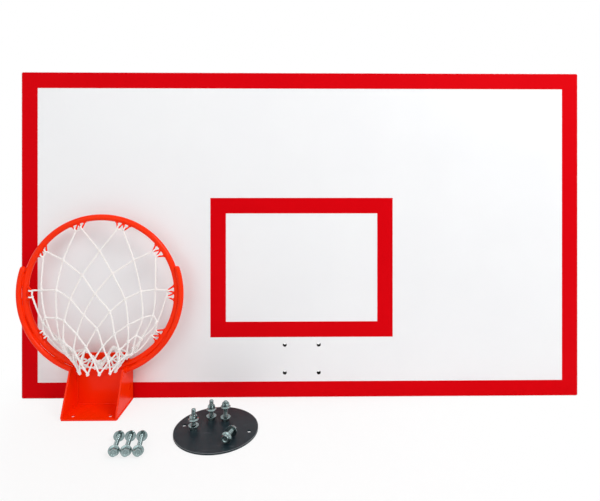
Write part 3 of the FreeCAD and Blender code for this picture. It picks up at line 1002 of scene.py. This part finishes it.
    def build(self) -> None:
        """Makes the cords, the knots and the hook loops in place of the CAD net."""
        twine = TWINE.material()
        step = self.rim.hook_step
        hooks = self.rim.hook_angles()
        cords = [self.cord_mesh(angle) for angle in hooks]
        add_piece("net_cords", joined(cords), twine, "rim", ["net"])
        knots = [self.knot((number + 0.5 + row / 2) * step, row)
                 for row in range(1, self.rows + 1) for number in range(self.rim.hook_count)]
        add_piece("net_knots", joined(knots), twine, "rim", ["net"])
        loops = [self.hook_loop(angle, side) for angle in hooks for side in (-1, 1)]
        add_piece("hook_loops", joined(loops), twine, "rim", ["net"])


@dataclass
class Disc:
    """The round drilled plate."""

    node: str = "round_plate"

    def dress(self) -> None:
        """Paints the plate."""
        dress_nodes({self.node: ENAMEL})


@dataclass
class FlangeBolt:
    """A flange bolt with its nut, threads and all, in place of the plain CAD pieces."""

    name: str
    nut_name: str
    point: Place
    stand: Stand
    turn: float
    length: float
    nut_up: float
    # Head and flange, with shares of the hexagon's corner radius
    head: float = 0.0115
    across: float = 0.019
    flange: float = 0.0145
    flange_edge: float = 0.0018
    flange_cone: float = 0.0026
    dish: float = 0.0065
    dish_depth: float = 0.0016
    crown: float = 0.0012
    face_share: float = 0.88
    crown_share: float = 0.9
    shoulder_share: float = 0.985
    # Small roundings
    pole: float = 0.0005
    nick: float = 0.0002
    edge: float = 0.0003
    ease: float = 0.0004
    fillet: float = 0.0006
    # Shank and thread
    shank: float = 0.006
    pitch: float = 0.00175
    thread_depth: float = 0.00095
    thread_flat: float = 1.25
    thread_slope: float = 3.0
    thread_rings: int = 7
    chamfer: float = 0.0012
    # Nut
    nut_height: float = 0.012
    nut_crown: float = 0.0014
    nut_face_share: float = 0.87
    bore_gap: float = 0.00005
    bore_chamfer: float = 0.0009
    # Points in a ring, and the angle that keeps an edge crisp
    sides: int = 48
    sharp: float = 32.0

    @property
    def corner(self) -> float:
        """Gives the radius of the hexagon's corners."""
        return self.across / math.sqrt(3)

    def place(self) -> Matrix:
        """Gives the bolt's frame: its axis runs from the outer face of its head.

        Returns:
            The frame as a matrix.
        """
        there = Matrix.Translation(self.point)
        if self.stand is Stand.ON_HEAD:
            return there
        return (there @ Matrix.Rotation(self.turn, 4, "Z") @ Matrix.Rotation(-math.pi / 2, 4, "X")
                @ Matrix.Rotation(math.pi / 6, 4, "Z"))

    def lathe(self, rows: Sequence[tuple[float, Outline]], shut: bool) -> Mesh:
        """Builds rings of points at heights, each with its own outline.

        Args:
            rows: The height and outline of each ring.
            shut: Whether the ends are closed.

        Returns:
            The mesh in the bolt's frame.
        """
        points = []
        for height, outline in rows:
            for k in range(self.sides):
                turn = 2 * math.pi * k / self.sides
                reach = outline(turn)
                points.append(Vector((math.cos(turn) * reach, math.sin(turn) * reach, height)))
        return points, grid_faces(len(rows), self.sides, shut)

    def circle(self, radius: float) -> Outline:
        """Gives the outline of a circle."""
        return lambda turn: radius

    def hexagon(self, limit: float) -> Outline:
        """Gives the outline of a hexagon whose corners are turned off at a radius.

        Args:
            limit: The radius.

        Returns:
            The outline.
        """
        def outline(turn: float) -> float:
            """Gives the radius at a turn."""
            part = (turn + math.pi / 6) % (math.pi / 3) - math.pi / 6
            return min(self.across / 2 / math.cos(math.pi / 6 - abs(part)), limit)

        return outline

    def thread(self, height: float, end: float) -> Outline:
        """Gives the outline of the thread at a height, cut back towards the shank's end.

        Args:
            height: The height along the bolt.
            end: Where the shank ends.

        Returns:
            The outline.
        """
        cap = min(self.shank, self.shank - self.chamfer + (end - height))

        def outline(turn: float) -> float:
            """Gives the radius at a turn.

            Args:
                turn: The turn round the shank.

            Returns:
                The radius.
            """
            phase = (height / self.pitch - turn / (2 * math.pi)) % 1.0
            wave = min(1.0, max(0.0, self.thread_flat - abs(phase - 0.5) * self.thread_slope))
            return min(cap, self.shank - self.thread_depth * wave)

        return outline

    def bolt_mesh(self) -> Mesh:
        """Builds the dished head, the flange and the threaded shank.

        Returns:
            The mesh in the bolt's frame.
        """
        brim = self.head - self.flange_edge
        cone = brim - self.flange_cone
        rows = [(self.dish_depth, self.circle(self.pole)),
                (self.dish_depth, self.circle(self.dish - self.dish_depth)),
                (self.nick, self.circle(self.dish - self.nick)),
                (0.0, self.circle(self.dish + self.ease)),
                (0.0, self.hexagon(self.corner * self.face_share)),
                (self.nick, self.hexagon(self.corner * self.crown_share)),
                (self.crown, self.hexagon(self.corner * self.shoulder_share)),
                (cone, self.hexagon(self.corner)),
                (cone + self.edge, self.hexagon(self.corner)),
                (brim, self.circle(self.flange - self.ease)),
                (brim + self.ease, self.circle(self.flange)),
                (self.head - self.edge, self.circle(self.flange)),
                (self.head, self.circle(self.flange - self.edge)),
                (self.head, self.circle(self.shank + self.fillet))]
        end = self.head + self.length
        count = round(self.length / self.pitch * self.thread_rings)
        for k in range(count + 1):
            height = self.head + self.length * k / count
            rows.append((height, self.thread(height, end)))
        rows.append((end, self.circle(self.pole)))
        return self.lathe(rows, True)

    def nut_mesh(self) -> Mesh:
        """Builds the flange nut round its bore.

        Returns:
            The mesh in the bolt's frame.
        """
        low = self.head + self.nut_up
        bore = self.shank + self.bore_gap
        top = self.nut_height
        cone = self.flange_edge + self.flange_cone
        rows = [(self.bore_chamfer, self.circle(bore)),
                (0.0, self.circle(bore + self.bore_chamfer)),
                (0.0, self.circle(self.flange - self.edge)),
                (self.edge, self.circle(self.flange)),
                (self.flange_edge - self.ease, self.circle(self.flange)),
                (self.flange_edge, self.circle(self.flange - self.ease)),
                (cone - self.edge, self.hexagon(self.corner)),
                (cone, self.hexagon(self.corner)),
                (top - self.nut_crown, self.hexagon(self.corner * self.shoulder_share)),
                (top - self.nick, self.hexagon(self.corner * self.crown_share)),
                (top, self.hexagon(self.corner * self.nut_face_share)),
                (top, self.circle(bore + self.bore_chamfer)),
                (top - self.bore_chamfer, self.circle(bore)),
                (self.bore_chamfer, self.circle(bore))]
        return self.lathe([(low + height, outline) for height, outline in rows], False)

    def build(self, zinc: bpy.types.Material) -> None:
        """Adds the bolt and its nut.

        Args:
            zinc: The plating that both have.
        """
        place = self.place()
        for name, mesh in ((self.name, self.bolt_mesh()), (self.nut_name, self.nut_mesh())):
            points = [place @ p for p in mesh[0]]
            piece = add_piece(name + "_threaded", (points, mesh[1]), zinc, name, [name])
            sharp_edges(piece, self.sharp)


@dataclass
class Fasteners:
    """The four short bolts on the round plate and the three long ones on the floor."""

    # Across and deep of the plate's middle, and how far up its shank the nut sits
    standing: tuple[Place, ...] = (
        (-0.0625, -0.0045, 0.015), (-0.022, 0.045, 0.018), (0.020, 0.039, 0.028))
    # The same, with the bolt's turn before the nut
    lying: tuple[float, float, float, float] = (0.0365, -0.082, math.radians(-18.0), 0.030)
    resting: float = 0.0003
    short_length: float = 0.045
    long_length: float = 0.080
    long_nut_up: float = 0.064
    row: Span = (-0.481, -0.3137)
    row_pitch: float = 0.0305
    row_turn: float = math.radians(11.0)
    row_count: int = 3

    def bolts(self) -> list[FlangeBolt]:
        """Lists the bolts where they stand and lie.

        Returns:
            The bolts.
        """
        x, y = DISC_MIDDLE
        z = DISC_TOP_MM * MM
        made = []
        for number, (across, deep, nut_up) in enumerate(self.standing, 1):
            made.append(FlangeBolt(f"short_bolt_{number}", f"short_nut_{number}",
                                   (x + across, y + deep, z), Stand.ON_HEAD, 0.0,
                                   self.short_length, nut_up))
        across, deep, turn, nut_up = self.lying
        made.append(FlangeBolt("short_bolt_4", "short_nut_4",
                               (x + across, y + deep, z + FlangeBolt.flange + self.resting),
                               Stand.LYING, turn, self.short_length, nut_up))
        way = Vector((-math.sin(self.row_turn), math.cos(self.row_turn), 0)) * FlangeBolt.head
        for number in range(self.row_count):
            place = (self.row[0] + number * self.row_pitch - way.x, self.row[1] - way.y,
                     FlangeBolt.flange)
            made.append(FlangeBolt(f"long_bolt_{number + 1}", f"long_nut_{number + 1}", place,
                                   Stand.LYING, self.row_turn, self.long_length, self.long_nut_up))
        return made

    def build(self) -> None:
        """Adds all the bolts and nuts."""
        zinc = ZINC.material()
        for bolt in self.bolts():
            bolt.build(zinc)


# Floor, light and camera

@dataclass(frozen=True)
class Lamp:
    """One soft square lamp."""

    name: str
    place: Place
    aim: Place
    size: float
    watts: float

    def hang(self) -> None:
        """Hangs the lamp and turns it to what it lights."""
        data = bpy.data.lights.new(self.name, "AREA")
        data.size = self.size
        data.energy = self.watts
        lamp = bpy.data.objects.new(self.name, data)
        lamp.location = self.place
        way = Vector(self.aim) - Vector(self.place)
        lamp.rotation_euler = way.to_track_quat("-Z", "Y").to_euler()
        bpy.context.scene.collection.objects.link(lamp)


@dataclass
class Studio:
    """The pale floor, the soft lamps and the camera."""

    white: str = "#FFFFFF"
    paper: str = "#F7F7F7"
    floor_half: float = 12.0
    set_middle: Place = (-0.25, -0.25, 0.0)
    glow_span: Span = (0.3, 0.95)
    glow_shares: Span = (0.76, 1.0)
    surround: float = 0.55
    lens: float = 26.4
    sensor: float = 36.0
    shift_y: float = -0.1103
    eye: Place = (-0.023, -1.4345, 0.689)
    swing: float = math.radians(-0.7)
    lamps: tuple[Lamp, ...] = (
        Lamp("key", (1.8, -1.6, 2.7), (-0.2, 0.0, 0.4), size=1.2, watts=50.0),
        Lamp("fill", (-1.4, -2.4, 1.6), (-0.2, 0.0, 0.4), size=2.0, watts=12.0),
        Lamp("back", (0.9, 2.4, 1.9), (0.0, 0.0, 0.5), size=1.6, watts=18.0))

    def sweep(self) -> bpy.types.Material:
        """Makes the floor's paper, which keeps soft shadows near the set and is white beyond.

        Returns:
            The material.
        """
        made = bpy.data.materials.new("white_paper_sweep")
        made.use_nodes = True
        tree = made.node_tree
        tree.nodes.clear()
        paper = add_node(tree, "ShaderNodeBsdfDiffuse", values={"Color": linear(self.paper)})
        glow = add_node(tree, "ShaderNodeEmission",
                        values={"Color": linear(self.white), "Strength": 1.0})
        path = add_node(tree, "ShaderNodeLightPath")
        seen = add_node(tree, "ShaderNodeMath", {"operation": "MAXIMUM"},
                        links={0: path.outputs["Is Camera Ray"], 1: path.outputs["Is Glossy Ray"]})
        place = add_node(tree, "ShaderNodeTexCoord").outputs["Object"]
        away = add_node(tree, "ShaderNodeVectorMath", {"operation": "DISTANCE"},
                        {1: self.set_middle}, {0: place}).outputs["Value"]
        fade = add_node(tree, "ShaderNodeMapRange", {"interpolation_type": "SMOOTHSTEP"},
                        {"From Min": self.glow_span[0], "From Max": self.glow_span[1],
                         "To Min": self.glow_shares[0], "To Max": self.glow_shares[1]},
                        {"Value": away})
        share = add_node(tree, "ShaderNodeMath", {"operation": "MULTIPLY"},
                         links={0: seen.outputs[0], 1: fade.outputs["Result"]})
        mixed = add_node(tree, "ShaderNodeMixShader",
                         links={0: share.outputs[0], 1: paper.outputs[0], 2: glow.outputs[0]})
        add_node(tree, "ShaderNodeOutputMaterial", links={"Surface": mixed.outputs[0]})
        return made

    def floor(self) -> None:
        """Lays the large white floor."""
        half = self.floor_half
        data = bpy.data.meshes.new("paper_floor")
        data.from_pydata([(-half, -half, 0), (half, -half, 0), (half, half, 0), (-half, half, 0)],
                         [], [(0, 1, 2, 3)])
        data.materials.append(self.sweep())
        floor = bpy.data.objects.new("paper_floor", data)
        bpy.context.scene.collection.objects.link(floor)

    def world(self) -> None:
        """Sets a white surround that lights plainly."""
        made = bpy.data.worlds.new("white_surround")
        made.use_nodes = True
        tree = made.node_tree
        tree.nodes.clear()
        path = add_node(tree, "ShaderNodeLightPath")
        straight = add_node(tree, "ShaderNodeMath", {"operation": "MAXIMUM"},
                            links={0: path.outputs["Is Camera Ray"],
                                   1: path.outputs["Is Transmission Ray"]})
        seen = add_node(tree, "ShaderNodeMath", {"operation": "MAXIMUM"},
                        links={0: straight.outputs[0], 1: path.outputs["Is Glossy Ray"]})
        strength = add_node(tree, "ShaderNodeMapRange",
                            values={"To Min": self.surround, "To Max": 1.0},
                            links={"Value": seen.outputs[0]})
        light = add_node(tree, "ShaderNodeBackground", values={"Color": linear(self.white)},
                         links={"Strength": strength.outputs["Result"]})
        add_node(tree, "ShaderNodeOutputWorld", links={"Surface": light.outputs[0]})
        bpy.context.scene.world = made

    def camera(self) -> None:
        """Stands the camera at the photograph's place."""
        data = bpy.data.cameras.new("eye")
        data.lens = self.lens
        data.sensor_width = self.sensor
        data.shift_y = self.shift_y
        camera = bpy.data.objects.new("eye", data)
        camera.location = self.eye
        camera.rotation_euler = (math.pi / 2, 0.0, self.swing)
        bpy.context.scene.collection.objects.link(camera)
        bpy.context.scene.camera = camera

    def build(self) -> None:
        """Sets up the floor, the light and the camera."""
        bpy.context.scene.view_settings.view_transform = "Standard"
        self.floor()
        self.world()
        for lamp in self.lamps:
            lamp.hang()
        self.camera()


def main() -> None:
    """Builds and dresses the set, piece by piece."""
    logging.basicConfig(level=logging.INFO, format="%(message)s")
    Studio().build()
    Board().dress()
    rim = Rim()
    rim.dress()
    Net(rim).build()
    Disc().dress()
    Fasteners().build()


if __name__ == "__main__":
    main()
